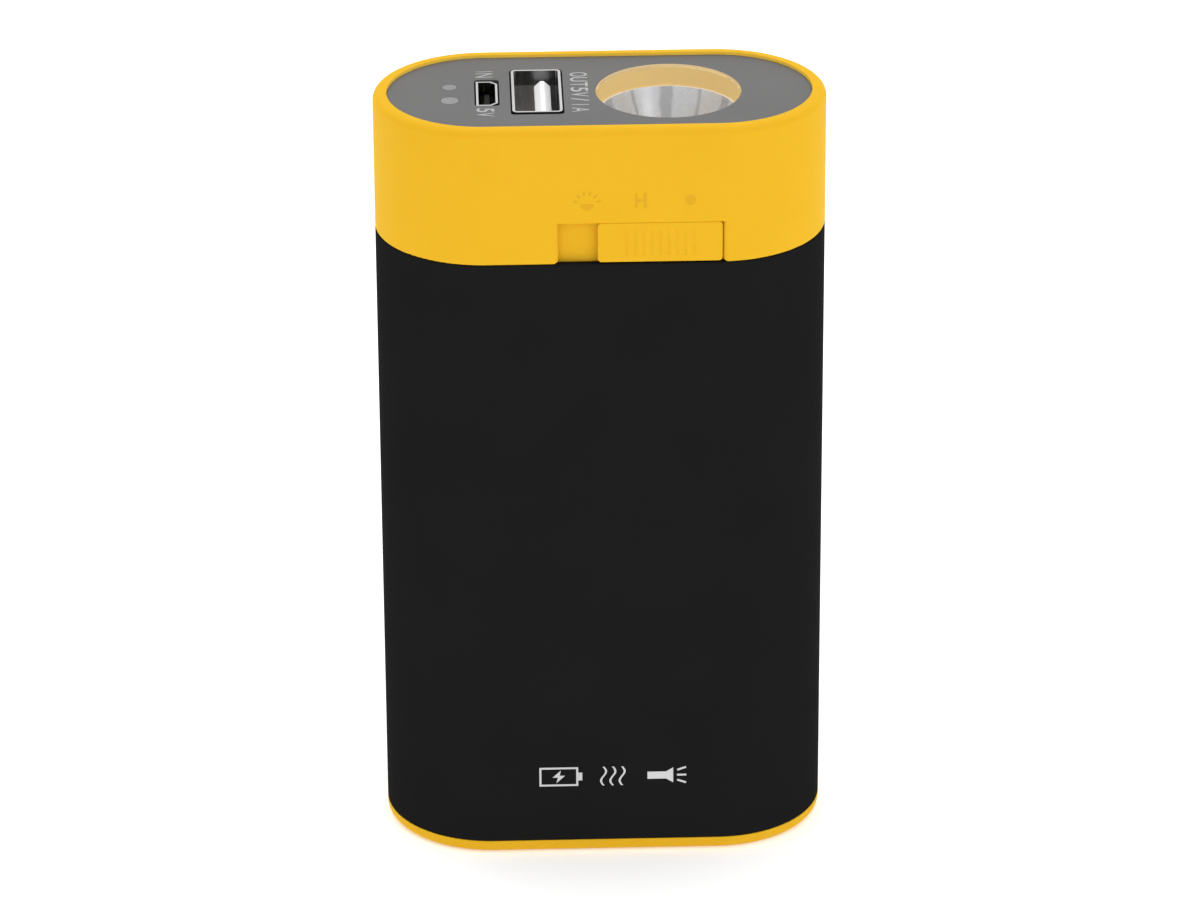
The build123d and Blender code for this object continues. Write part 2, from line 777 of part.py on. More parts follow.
# Four flat pins from the base's back down through the board's edge pads
with BuildPart() as switch_pins:
    with BuildSketch(Plane.XZ.offset(-switch_back_y - switch_sheet)):
        with Locations((switch_x, board_z)):
            with GridLocations(switch_pin_pitch, 0, 4, 1):
                Rectangle(switch_pin_width, switch_height / 2, align=(Align.CENTER, Align.MIN))
    extrude(amount=switch_sheet)
finish(switch_pins, "switch_pins")

# The lever: a carriage inside the frame and the post that the knob sits on
with BuildPart() as switch_lever:
    with BuildSketch(Plane.XZ.offset(-carriage_back_y)):
        with Locations((knob_off_x, switch_mid_z)):
            Rectangle(carriage_width, switch_height - 2 * switch_sheet - 2 * carriage_gap)
    extrude(amount=carriage_depth)
    with BuildSketch(Plane.XZ.offset(-carriage_front_y)):
        with Locations((knob_off_x, switch_mid_z)):
            Rectangle(lever_width, lever_height)
    extrude(amount=carriage_front_y - notch_floor_y)
finish(switch_lever, "switch_lever")

# Spring-bronze bridge on the carriage's back, which joins two contacts at a time
with BuildPart() as switch_bridge:
    with BuildSketch(Plane.XZ.offset(-bridge_back_y)):
        with Locations((knob_off_x, switch_mid_z)):
            Rectangle(bridge_width, bridge_height)
    extrude(amount=bridge_thickness)
finish(switch_bridge, "switch_bridge")

# Knob: a ribbed pad in the notch, with a stem through the wall that grips the post
with BuildPart() as slider_knob:
    pad_back_y = notch_floor_y - knob_back_gap
    pad_front_y = front_y + knob_flush_drop
    with BuildSketch(Plane.XZ.offset(-pad_back_y)):
        with Locations((knob_off_x, knob_mid_z)):
            RectangleRounded(knob_width, knob_height, knob_corner)
    extrude(amount=pad_back_y - pad_front_y)
    fillet(slider_knob.edges().group_by(Axis.Y)[0], knob_edge)
    stem_back_y = switch_front_y - stem_clearance
    with BuildSketch(Plane.XZ.offset(-stem_back_y)):
        with Locations((knob_off_x, switch_mid_z)):
            Rectangle(stem_width, stem_height)
    extrude(amount=stem_back_y - pad_back_y)
    with BuildSketch(Plane.XZ.offset(-stem_back_y)):
        with Locations((knob_off_x, switch_mid_z)):
            Rectangle(lever_width, lever_height)
    extrude(amount=stem_back_y - notch_floor_y, mode=Mode.SUBTRACT)
    with BuildSketch(Plane.XZ.offset(-pad_front_y - rib_depth)):
        with Locations((knob_off_x, knob_mid_z)):
            with GridLocations(rib_pitch, 0, rib_count, 1):
                SlotOverall(rib_length, rib_width, rotation=90)
    extrude(amount=rib_depth, mode=Mode.SUBTRACT)
finish(slider_knob, "slider_knob")


# ================================================================ board

# Board with holes for the screws and for the output socket's legs
with BuildPart() as main_board:
    with BuildSketch(Plane.XY.offset(board_under_z)):
        SlotOverall(board_width, board_depth)
        with Locations((screw_x, 0), (-screw_x, 0)):
            Circle(screw_hole_radius, mode=Mode.SUBTRACT)
        with Locations((out_x, out_y)):
            with GridLocations(out_shell_x - out_shell_sheet, 0, 2, 1):
                Rectangle(
                    out_shell_sheet + 2 * out_leg_clearance,
                    out_leg_width + 2 * out_leg_clearance,
                    mode=Mode.SUBTRACT,
                )
    extrude(amount=board_thickness)
finish(main_board, "main_board")

# Parts under the board
with BuildPart() as power_coil:
    with BuildSketch(Plane.XY.offset(board_under_z - coil_height)):
        with Locations(coil_place):
            RectangleRounded(coil_size, coil_size, coil_corner)
    extrude(amount=coil_height)
finish(power_coil, "power_coil")

with BuildPart() as control_chips:
    with BuildSketch(Plane.XY.offset(board_under_z - chip_height)):
        with Locations(*chip_places):
            Rectangle(chip_length, chip_width)
    extrude(amount=chip_height)
finish(control_chips, "control_chips")

with BuildPart() as capacitors:
    with Locations((*capacitor_place, board_under_z)):
        with GridLocations(capacitor_pitch, capacitor_pitch, 3, 2):
            Box(*capacitor_size, align=(Align.CENTER, Align.CENTER, Align.MAX))
finish(capacitors, "capacitors")

with BuildPart() as resistors:
    with Locations((*resistor_place, board_under_z)):
        with GridLocations(2 * resistor_pitch, resistor_pitch, 2, 3):
            Box(*resistor_size, align=(Align.CENTER, Align.CENTER, Align.MAX))
finish(resistors, "resistors")


# ================================================================ screws


def screw_pair(bearing_z, side, label):
    """Two screws at +X and -X. Side is +1 when the heads are above the face they bear on."""
    with BuildPart() as screws:
        for place_x in (screw_x, -screw_x):
            head_plane = Plane((place_x, 0, bearing_z), z_dir=(0, 0, side))
            with BuildSketch(head_plane):
                Circle(screw_head_diameter / 2)
            extrude(amount=screw_head_height)
            with BuildSketch(head_plane):
                Circle(screw_diameter / 2)
            extrude(amount=-screw_length)
            with BuildSketch(head_plane.offset(screw_head_height - recess_depth)):
                Rectangle(screw_head_diameter / 2, recess_width)
                Rectangle(recess_width, screw_head_diameter / 2)
            extrude(amount=recess_depth, mode=Mode.SUBTRACT)
    finish(screws, label)


screw_pair(board_z + boss_floor, 1, "head_screws")
screw_pair(counterbore_depth, -1, "base_screws")


# ================================================================ cells

# Chassis: two plates with a cup for each cell, joined by two rails that take the screws
with BuildPart() as cell_chassis:
    with BuildSketch(Plane.XY.offset(base_floor)):
        SlotOverall(chassis_width, chassis_depth)
    extrude(amount=board_under_z - base_floor)
    # away from the plates only the two rails are left
    open_spans = (
        (lower_plate_top + collar_height, upper_plate_z - collar_height),
        (upper_plate_top, board_under_z),
    )
    for span_foot, span_top in open_spans:
        with BuildSketch(Plane.XY.offset(span_foot)):
            Rectangle(2 * rail_x, body_depth)
            with GridLocations(0, (body_depth + rail_depth) / 2, 1, 2):
                Rectangle(body_width, (body_depth - rail_depth) / 2)
        extrude(amount=span_top - span_foot, mode=Mode.SUBTRACT)
    # cups for the cells and the ways for the strips
    cup_feet = (lower_plate_top, upper_plate_z - collar_height)
    for cup_foot in cup_feet:
        with BuildSketch(Plane.XY.offset(cup_foot)):
            with Locations((cell_x, 0), (-cell_x, 0)):
                Circle(cell_radius + collar_gap)
            Rectangle(2 * cell_x, negative_tab_width + 2 * lead_hole_gap)
        extrude(amount=collar_height, mode=Mode.SUBTRACT)
    # pilot holes for the screws at both ends of each rail
    pilot_depth = screw_length + screw_free - boss_floor - board_thickness
    base_pilot_depth = screw_length + screw_free - base_floor + counterbore_depth
    with BuildSketch(Plane.XY.offset(board_under_z - pilot_depth)):
        with Locations((screw_x, 0), (-screw_x, 0)):
            Circle(screw_pilot_radius)
    extrude(amount=pilot_depth, mode=Mode.SUBTRACT)
    with BuildSketch(Plane.XY.offset(base_floor)):
        with Locations((screw_x, 0), (-screw_x, 0)):
            Circle(screw_pilot_radius)
    extrude(amount=base_pilot_depth, mode=Mode.SUBTRACT)
    # ways through the upper plate for the leads
    with BuildSketch(Plane.XY.offset(upper_plate_z - collar_height)):
        with Locations((0, positive_lead_y), (0, negative_lead_y)):
            Circle(battery_lead_diameter / 2 + lead_hole_gap)
        with GridLocations(0, chassis_depth - lead_notch_depth, 1, 2):
            Rectangle(lead_notch_width, lead_notch_depth)
    extrude(amount=collar_height + plate_thickness, mode=Mode.SUBTRACT)
finish(cell_chassis, "cell_chassis")


def cell(place_x, side_name):
    """One cell: a steel can with its button, the wound core inside and the printed wrap outside."""
    can_radius = cell_diameter / 2
    with BuildPart() as can:
        with BuildSketch(Plane.XY.offset(cell_z)):
            with Locations((place_x, 0)):
                Circle(can_radius)
        extrude(amount=cell_shoulder_z - cell_z)
        with BuildSketch(Plane.XY.offset(cell_shoulder_z)):
            with Locations((place_x, 0)):
                Circle(cell_button_radius)
        extrude(amount=cell_button_height)
        with BuildSketch(Plane.XY.offset(cell_z + cell_can_sheet)):
            with Locations((place_x, 0)):
                Circle(can_radius - cell_can_sheet)
        extrude(amount=cell_shoulder_z - cell_z - 2 * cell_can_sheet, mode=Mode.SUBTRACT)
    finish(can, f"cell_can_{side_name}")
    core_inset = cell_can_sheet + cell_core_gap
    with BuildPart() as core:
        with BuildSketch(Plane.XY.offset(cell_z + core_inset)):
            with Locations((place_x, 0)):
                Circle(can_radius - core_inset)
        extrude(amount=cell_shoulder_z - cell_z - 2 * core_inset)
    finish(core, f"cell_core_{side_name}")
    with BuildPart() as wrap:
        with BuildSketch(Plane.XY.offset(cell_z)):
            with Locations((place_x, 0)):
                Circle(cell_radius)
                Circle(can_radius, mode=Mode.SUBTRACT)
        extrude(amount=cell_shoulder_z - cell_z)
    finish(wrap, f"cell_wrap_{side_name}")


cell(-cell_x, "left")
cell(cell_x, "right")

# Paper rings around the cells' buttons
with BuildPart() as cell_insulators:
    with BuildSketch(Plane.XY.offset(cell_shoulder_z)):
        with Locations((cell_x, 0), (-cell_x, 0)):
            Circle(insulator_outer)
            Circle(insulator_inner, mode=Mode.SUBTRACT)
    extrude(amount=insulator_thickness)
finish(cell_insulators, "cell_insulators")

# Nickel strips that join the two cells side by side
with BuildPart() as positive_tab:
    with BuildSketch(Plane.XY.offset(cell_top_z)):
        SlotOverall(tab_length, positive_tab_width)
    extrude(amount=tab_thickness)
finish(positive_tab, "positive_tab")

with BuildPart() as negative_tab:
    with BuildSketch(Plane.XY.offset(lower_plate_top)):
        SlotOverall(tab_length, negative_tab_width)
    extrude(amount=tab_thickness)
finish(negative_tab, "negative_tab")


# ================================================================ heaters and leads


def upright_sheet(near_y, side, thickness, width, length, label):
    """A flat sheet on the front (side -1) or back (side +1), from near_y outwards."""
    with BuildPart() as sheet:
        with Locations((0, side * (near_y + thickness / 2), heater_z)):
            Box(width, thickness, length)
    finish(sheet, label)


def heater_leads(side, label):
    """Two wires from the film's face up to the board's edge, through the chassis's notch."""
    film_y = heater_face_y - heater_lead_diameter / 2
    start_z = heater_z + heater_length / 2 - heater_lead_start
    with BuildPart() as leads:
        for lead_x in (-heater_lead_spread / 2, heater_lead_spread / 2):
            with BuildLine():
                way = FilletPolyline(
                    (lead_x, side * film_y, start_z),
                    (lead_x, side * film_y, upper_plate_z - collar_height - heater_lead_bend),
                    (lead_x, side * lead_y, upper_plate_z),
                    (lead_x, side * lead_y, board_under_z),
                    radius=heater_lead_bend,
                )
            with BuildSketch(Plane(way @ 0, z_dir=way % 0)):
                Circle(heater_lead_diameter / 2)
            sweep(path=way)
    finish(leads, label)


heater_width = flat_width - 2 * heater_margin
for side, side_name in ((-1, "front"), (1, "back")):
    upright_sheet(
        heater_face_y, side, heater_thickness, heater_width, heater_length, f"heater_film_{side_name}"
    )
    upright_sheet(
        insulation_y,
        side,
        insulation_thickness,
        insulation_width,
        insulation_length,
        f"insulation_sheet_{side_name}",
    )
    heater_leads(side, f"heater_leads_{side_name}")

# Thermal cutout on the front film's inner face
with BuildPart() as thermal_cutout:
    with Locations((cutout_x, -heater_face_y + cutout_thickness / 2, heater_z)):
        Box(cutout_width, cutout_thickness, cutout_length)
finish(thermal_cutout, "thermal_cutout")

# Leads from the cells' strips up to the board
with BuildPart() as battery_lead_positive:
    with BuildSketch(Plane.XY.offset(cell_top_z + tab_thickness)):
        with Locations((0, positive_lead_y)):
            Circle(battery_lead_diameter / 2)
    extrude(amount=board_under_z - cell_top_z - tab_thickness)
finish(battery_lead_positive, "battery_lead_positive")

with BuildPart() as battery_lead_negative:
    with BuildSketch(Plane.XY.offset(cell_z)):
        with Locations((0, negative_lead_y)):
            Circle(battery_lead_diameter / 2)
    extrude(amount=board_under_z - cell_z)
finish(battery_lead_negative, "battery_lead_negative")
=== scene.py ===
import math

import bpy
from mathutils import Matrix, Vector


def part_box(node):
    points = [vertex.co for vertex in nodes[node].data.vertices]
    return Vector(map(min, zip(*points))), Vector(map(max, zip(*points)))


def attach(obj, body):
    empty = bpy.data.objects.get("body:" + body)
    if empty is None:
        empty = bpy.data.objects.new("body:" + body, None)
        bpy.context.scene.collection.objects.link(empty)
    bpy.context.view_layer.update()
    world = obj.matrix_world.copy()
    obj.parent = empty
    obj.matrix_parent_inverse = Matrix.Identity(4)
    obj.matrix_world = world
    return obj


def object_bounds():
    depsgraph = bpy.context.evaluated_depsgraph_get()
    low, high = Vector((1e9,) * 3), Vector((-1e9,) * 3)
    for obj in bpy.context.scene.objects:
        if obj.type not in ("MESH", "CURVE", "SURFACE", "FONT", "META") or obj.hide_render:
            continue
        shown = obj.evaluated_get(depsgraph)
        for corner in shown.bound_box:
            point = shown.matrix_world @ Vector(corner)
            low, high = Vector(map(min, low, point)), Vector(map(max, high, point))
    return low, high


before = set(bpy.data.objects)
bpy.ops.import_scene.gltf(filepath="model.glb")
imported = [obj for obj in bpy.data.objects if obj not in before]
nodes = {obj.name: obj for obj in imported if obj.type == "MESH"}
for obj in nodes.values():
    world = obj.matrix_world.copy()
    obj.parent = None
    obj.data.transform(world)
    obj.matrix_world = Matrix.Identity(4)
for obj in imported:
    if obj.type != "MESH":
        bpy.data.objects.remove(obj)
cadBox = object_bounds()
mm = 0.001
print("frame loaded:", len(nodes), "pieces")


# camera, floor and light

camera = {
    "target": (-0.157 * mm, 0.0, 46.83 * mm),
    "around": -1.638,  # degrees, 0 looks along +Y
    "above": 25.134,
    "roll": -0.302,
    "distance": 691.7 * mm,
    "lens": 176.3,
    "sensor": 36.0,
    "nearest": 0.01,
}
room = {
    "floor": (0.98, 0.98, 0.98),
    "floorSize": 6.0,
    "floorRough": 0.9,
    "floorGloss": 0.1,
    "floorGlow": 0.24,
    "sky": 0.97,
    "keyPower": 1.15,
    "keySize": 0.35,
    "keyAt": (0.6, -0.75, 0.6),
    "topPower": 3.0,
    "topSize": 0.8,
    "topAt": (-0.1, 0.35, 0.95),
}


def addCamera(cam):
    a, e, r = (math.radians(cam[k]) for k in ("around", "above", "roll"))
    back = Vector((math.sin(a) * math.cos(e), -math.cos(a) * math.cos(e), math.sin(e)))
    side = Vector((math.cos(a), math.sin(a), 0.0))
    up = back.cross(side)
    right = side * math.cos(r) + up * math.sin(r)
    top = up * math.cos(r) - side * math.sin(r)
    place = Matrix((right, top, back)).transposed().to_4x4()
    place.translation = Vector(cam["target"]) + back * cam["distance"]
    bpy.ops.object.camera_add()
    obj = bpy.context.object
    obj.name = "studioCamera"
    obj.matrix_world = place
    obj.data.lens = cam["lens"]
    obj.data.sensor_width = cam["sensor"]
    obj.data.clip_start = cam["nearest"]
    bpy.context.scene.camera = obj


def addSoftbox(name, at, size, power):
    bpy.ops.object.light_add(type="AREA", location=at)
    obj = bpy.context.object
    obj.name = name
    obj.data.size = size
    obj.data.energy = power
    aim = Vector(camera["target"]) - Vector(at)
    obj.rotation_euler = aim.to_track_quat("-Z", "Y").to_euler()


def addFloor():
    bpy.ops.mesh.primitive_plane_add(size=room["floorSize"])
    floor = bpy.context.object
    floor.name = "studioFloor"
    mat = bpy.data.materials.new("paleFloor")
    mat.use_nodes = True
    shader = mat.node_tree.nodes["Principled BSDF"]
    shader.inputs["Base Color"].default_value = (*room["floor"], 1.0)
    shader.inputs["Roughness"].default_value = room["floorRough"]
    shader.inputs["Specular IOR Level"].default_value = room["floorGloss"]
    shader.inputs["Emission Color"].default_value = (1.0, 1.0, 1.0, 1.0)
    shader.inputs["Emission Strength"].default_value = room["floorGlow"]
    floor.data.materials.append(mat)


addCamera(camera)
addFloor()
addSoftbox("keySoftbox", room["keyAt"], room["keySize"], room["keyPower"])
addSoftbox("topSoftbox", room["topAt"], room["topSize"], room["topPower"])
world = bpy.data.worlds.new("studioSky")
world.use_nodes = True
world.node_tree.nodes["Background"].inputs["Color"].default_value = (1.0, 1.0, 1.0, 1.0)
world.node_tree.nodes["Background"].inputs["Strength"].default_value = room["sky"]
bpy.context.scene.world = world
bpy.context.scene.view_settings.view_transform = "Standard"
print("camera and studio ready")


# materials

noiseSpan = (0.3, 0.7)  # nearly all of a noise's values lie between these


def startMaterial(name):
    mat = bpy.data.materials.new(name)
    mat.use_nodes = True
    return mat, mat.node_tree.nodes["Principled BSDF"]


def addNode(mat, kind, **inputs):
    node = mat.node_tree.nodes.new(kind)
    for key, value in inputs.items():
        node.inputs[key].default_value = value
    return node


def placedNoise(mat, scale, detail, stretch=(1.0, 1.0, 1.0)):
    # noise on the object's own metres, stretched along an axis if asked
    coords = addNode(mat, "ShaderNodeTexCoord")
    mapping = addNode(mat, "ShaderNodeMapping", Scale=stretch)
    noise = addNode(mat, "ShaderNodeTexNoise", Scale=scale, Detail=detail)
    mat.node_tree.links.new(coords.outputs["Object"], mapping.inputs["Vector"])
    mat.node_tree.links.new(mapping.outputs["Vector"], noise.inputs["Vector"])
    return noise


def twoTones(mat, shader, source, dark, light, low=noiseSpan[0], high=noiseSpan[1]):
    ramp = addNode(mat, "ShaderNodeValToRGB")
    ramp.color_ramp.elements[0].position = low
    ramp.color_ramp.elements[0].color = (*dark, 1.0)
    ramp.color_ramp.elements[1].position = high
    ramp.color_ramp.elements[1].color = (*light, 1.0)
    mat.node_tree.links.new(source, ramp.inputs["Fac"])
    mat.node_tree.links.new(ramp.outputs["Color"], shader.inputs["Base Color"])


def unevenGloss(mat, shader, source, smooth, rough):
    spread = addNode(mat, "ShaderNodeMapRange", **{"To Min": smooth, "To Max": rough})
    spread.inputs["From Min"].default_value = noiseSpan[0]
    spread.inputs["From Max"].default_value = noiseSpan[1]
    mat.node_tree.links.new(source, spread.inputs["Value"])
    mat.node_tree.links.new(spread.outputs["Result"], shader.inputs["Roughness"])


def reliefFrom(mat, shader, source, depth, strength=1.0):
    bump = addNode(mat, "ShaderNodeBump", Strength=strength, Distance=depth)
    mat.node_tree.links.new(source, bump.inputs["Height"])
    mat.node_tree.links.new(bump.outputs["Normal"], shader.inputs["Normal"])


plainLook = {  # what a finish has unless its own dictionary says otherwise
    "patchScale": 90.0,
    "patchDetail": 2.0,
    "grainDetail": 4.0,
    "stretch": (1.0, 1.0, 1.0),
    "specular": 0.4,
    "metallic": 0.0,
    "coat": 0.0,
    "subsurface": 0.0,
    "scatter": 0.1 * mm,
}


def finishWith(name, ownLook):
    # tone patches, uneven gloss and a fine grain: the base of most finishes here
    look = {**plainLook, **ownLook}
    mat, shader = startMaterial(name)
    patches = placedNoise(mat, look["patchScale"], look["patchDetail"])
    grain = placedNoise(mat, look["grainScale"], look["grainDetail"], look["stretch"])
    twoTones(mat, shader, patches.outputs["Fac"], look["dark"], look["light"])
    unevenGloss(mat, shader, grain.outputs["Fac"], look["smooth"], look["rough"])
    reliefFrom(mat, shader, grain.outputs["Fac"], look["grainDepth"])
    shader.inputs["Specular IOR Level"].default_value = look["specular"]
    shader.inputs["Metallic"].default_value = look["metallic"]
    shader.inputs["Coat Weight"].default_value = look["coat"]
    shader.inputs["Subsurface Weight"].default_value = look["subsurface"]
    shader.inputs["Subsurface Scale"].default_value = look["scatter"]
    return mat


def dress(mat, *names):
    for name in names:
        for slot in nodes[name].material_slots:
            slot.material = mat


yellowAbs = {
    "dark": (0.725, 0.41, 0.017),
    "light": (0.745, 0.424, 0.019),
    "subsurface": 0.25,
    "scatter": 0.4 * mm,
    "grainScale": 9000.0,
    "grainDepth": 0.006 * mm,
    "smooth": 0.55,
    "rough": 0.65,
    "specular": 0.03,
}
headPlastic = finishWith("headPlastic", yellowAbs)
dress(headPlastic, "head_shell")
dress(finishWith("yellowPlastic", yellowAbs), "base_cap", "slider_knob")

blackAnodised = {
    "dark": (0.0104, 0.0104, 0.0105),
    "light": (0.0113, 0.0113, 0.0114),
    "grainScale": 5000.0,
    "stretch": (1.0, 1.0, 0.04),  # drawn out along the extrusion
    "grainDepth": 0.004 * mm,
    "smooth": 0.6,
    "rough": 0.75,
    "specular": 0.002,
}
blackTube = finishWith("blackTube", blackAnodised)
dress(blackTube, "body_tube")

greyOverlay = {
    "dark": (0.098, 0.0975, 0.0965),
    "light": (0.108, 0.1075, 0.1065),
    "grainScale": 14000.0,
    "grainDepth": 0.005 * mm,
    "smooth": 0.4,
    "rough": 0.5,
    "specular": 0.3,
}
overlay = finishWith("greyOverlay", greyOverlay)
dress(overlay, "top_panel")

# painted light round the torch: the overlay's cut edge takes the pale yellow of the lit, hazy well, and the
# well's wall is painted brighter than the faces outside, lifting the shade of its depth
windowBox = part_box("torch_lens")
windowEdgePaintedLight = {
    "colour": (0.85, 0.64, 0.28, 1.0),
    "middle": tuple((windowBox[0][i] + windowBox[1][i]) / 2 for i in range(3)),
    "radius": (windowBox[1][0] - windowBox[0][0]) / 2 + 0.12 * mm,
    "below": windowBox[1][2] - 0.01 * mm,  # the printed face itself stays grey
}
torchWellPaintedLight = {**windowEdgePaintedLight, "colour": (0.93, 0.58, 0.03, 1.0)}
# painted light: a brighter yellow for the rim's inner wall, which stands in shade
rimInsidePaintedLight = {"colour": (0.97, 0.62, 0.07, 1.0), "above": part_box("top_panel")[1][2] - 0.05 * mm}


def compared(mat, source, operation, value):
    # 1 where the comparison holds, 0 elsewhere
    test = addNode(mat, "ShaderNodeMath")
    test.operation = operation
    test.inputs[1].default_value = value
    mat.node_tree.links.new(source, test.inputs[0])
    return test.outputs["Value"]


def tintWhere(mat, first, second, colour):
    # lays a colour over the base colour where both tests are 1
    links = mat.node_tree.links
    shader = mat.node_tree.nodes["Principled BSDF"]
    both = addNode(mat, "ShaderNodeMath")
    both.operation = "MULTIPLY"
    tint = addNode(mat, "ShaderNodeMixRGB", Color2=colour)
    links.new(first, both.inputs[0])
    links.new(second, both.inputs[1])
    links.new(both.outputs["Value"], tint.inputs["Fac"])
    links.new(shader.inputs["Base Color"].links[0].from_socket, tint.inputs["Color1"])
    links.new(tint.outputs["Color"], shader.inputs["Base Color"])


def faceTilt(mat):
    # 1 on a level face that looks up, 0 on an upright wall
    facing = addNode(mat, "ShaderNodeNewGeometry")
    parts = addNode(mat, "ShaderNodeSeparateXYZ")
    mat.node_tree.links.new(facing.outputs["Normal"], parts.inputs["Vector"])
    return parts.outputs["Z"]


def objectHeight(mat):
    coords = addNode(mat, "ShaderNodeTexCoord")
    parts = addNode(mat, "ShaderNodeSeparateXYZ")
    mat.node_tree.links.new(coords.outputs["Object"], parts.inputs["Vector"])
    return parts.outputs["Z"]


def paintLightRoundTorch(mat, edge):
    # painted light: lays the given colour on the faces near the torch's axis and below the window's top
    coords = addNode(mat, "ShaderNodeTexCoord")
    flat = addNode(mat, "ShaderNodeVectorMath")
    flat.operation = "MULTIPLY"
    flat.inputs[1].default_value = (1.0, 1.0, 0.0)
    reach = addNode(mat, "ShaderNodeVectorMath")
    reach.operation = "DISTANCE"
    reach.inputs[1].default_value = (edge["middle"][0], edge["middle"][1], 0.0)
    mat.node_tree.links.new(coords.outputs["Object"], flat.inputs[0])
    mat.node_tree.links.new(flat.outputs["Vector"], reach.inputs[0])
    near = compared(mat, reach.outputs["Value"], "LESS_THAN", edge["radius"])
    low = compared(mat, objectHeight(mat), "LESS_THAN", edge["below"])
    tintWhere(mat, near, low, edge["colour"])


def paintLightOnRimInside(mat, rim):
    # painted light on the low wall round the panel: the upright faces above it that look back at the middle
    # are painted brighter, lifting the shade they stand in
    coords = addNode(mat, "ShaderNodeTexCoord")
    inward = addNode(mat, "ShaderNodeVectorMath")
    inward.operation = "DOT_PRODUCT"
    mat.node_tree.links.new(coords.outputs["Object"], inward.inputs[0])
    mat.node_tree.links.new(coords.outputs["Normal"], inward.inputs[1])
    facing = compared(mat, inward.outputs["Value"], "LESS_THAN", 0.0)
    high = compared(mat, objectHeight(mat), "GREATER_THAN", rim["above"])
    tintWhere(mat, facing, high, rim["colour"])


# painted light round the torch: the paler cut edge and the brighter well wall
paintLightRoundTorch(overlay, windowEdgePaintedLight)
paintLightRoundTorch(headPlastic, torchWellPaintedLight)
# painted light on the rim's inner wall
paintLightOnRimInside(headPlastic, rimInsidePaintedLight)
print("housing finishes done")


# torch

window = {
    "haze": 0.075,
    "hazeSpread": 0.01,
    "roughness": 0.12,
    "tint": (1.0, 1.0, 1.0, 1.0),
    "waveScale": 150.0,
    "wave": 0.002 * mm,
}
windowClear, shader = startMaterial("windowClear")
shader.inputs["Base Color"].default_value = window["tint"]
shader.inputs["Roughness"].default_value = window["roughness"]
moulding = placedNoise(windowClear, window["waveScale"], 1.0)
veil = addNode(windowClear, "ShaderNodeMapRange")
veil.inputs["To Min"].default_value = window["haze"] - window["hazeSpread"]
veil.inputs["To Max"].default_value = window["haze"] + window["hazeSpread"]
windowClear.node_tree.links.new(moulding.outputs["Fac"], veil.inputs["Value"])
windowClear.node_tree.links.new(veil.outputs["Result"], shader.inputs["Alpha"])
reliefFrom(windowClear, shader, moulding.outputs["Fac"], window["wave"])
dress(windowClear, "torch_lens")

platingPaintedReflections = {
    "dark": (0.28, 0.295, 0.325, 1.0),
    "light": (0.53, 0.56, 0.615, 1.0),
    "lipPaintedHighlight": (0.95, 0.95, 0.96, 1.0),
    "lipTilt": 0.8,  # faces that look up more than this get the painted highlight of the lip
    "paintedReflectionFolds": 6.0,  # painted reflection: broad dark folds round the bowl, a fine one halfway between two
    "tones": ((0.07, "dark"), (0.11, "light"), (0.46, "light"), (0.49, "dark")),
    "waver": 0.012,
    "waverScale": 500.0,
    "turn": math.radians(92),
    "smooth": 0.22,
    "rough": 0.3,
    "metallic": 0.35,
}


def addPlating(look):
    # satin plating with painted reflections: dark folds that run down the bowl and waver a little, standing
    # in for the dark reflections in the bowl, and a painted highlight on the white, non-metal lip
    mat, shader = startMaterial("platingPaintedReflections")
    links = mat.node_tree.links
    middle = windowEdgePaintedLight["middle"]
    coords = addNode(mat, "ShaderNodeTexCoord")
    centre = addNode(mat, "ShaderNodeMapping")
    centre.vector_type = "TEXTURE"
    centre.inputs["Location"].default_value = (middle[0], middle[1], 0.0)
    centre.inputs["Rotation"].default_value = (0.0, 0.0, look["turn"])
    angle = addNode(mat, "ShaderNodeTexGradient")
    angle.gradient_type = "RADIAL"
    waver = placedNoise(mat, look["waverScale"], 1.0)
    shifted = addNode(mat, "ShaderNodeMath")
    shifted.operation = "MULTIPLY_ADD"
    shifted.inputs[1].default_value = look["waver"]
    turns = addNode(mat, "ShaderNodeMath")
    turns.operation = "MULTIPLY"
    turns.inputs[1].default_value = look["paintedReflectionFolds"]
    fold = addNode(mat, "ShaderNodeMath")
    fold.operation = "PINGPONG"
    fold.inputs[1].default_value = 0.5  # so it runs from a broad fold to a fine one and back
    tones = addNode(mat, "ShaderNodeValToRGB")
    for place, tone in look["tones"][1:-1]:
        tones.color_ramp.elements.new(place)
    for stop, (place, tone) in zip(tones.color_ramp.elements, look["tones"]):
        stop.position = place
        stop.color = look[tone]
    links.new(coords.outputs["Object"], centre.inputs["Vector"])
    links.new(centre.outputs["Vector"], angle.inputs["Vector"])
    links.new(waver.outputs["Fac"], shifted.inputs[0])
    links.new(angle.outputs["Fac"], shifted.inputs[2])
    links.new(shifted.outputs["Value"], turns.inputs[0])
    links.new(turns.outputs["Value"], fold.inputs[0])
    links.new(fold.outputs["Value"], tones.inputs["Fac"])
    lipHighlightMix = addNode(mat, "ShaderNodeMixRGB", Color2=look["lipPaintedHighlight"])
    level = compared(mat, faceTilt(mat), "GREATER_THAN", look["lipTilt"])
    links.new(level, lipHighlightMix.inputs["Fac"])
    links.new(tones.outputs["Color"], lipHighlightMix.inputs["Color1"])
    links.new(lipHighlightMix.outputs["Color"], shader.inputs["Base Color"])
    unevenGloss(mat, shader, waver.outputs["Fac"], look["smooth"], look["rough"])
    metal = addNode(mat, "ShaderNodeMapRange", **{"To Min": look["metallic"], "To Max": 0.0})
    links.new(level, metal.inputs["Value"])
    links.new(metal.outputs["Result"], shader.inputs["Metallic"])
    return mat


# painted reflections and a painted lip highlight on the reflector
dress(addPlating(platingPaintedReflections), "torch_reflector")

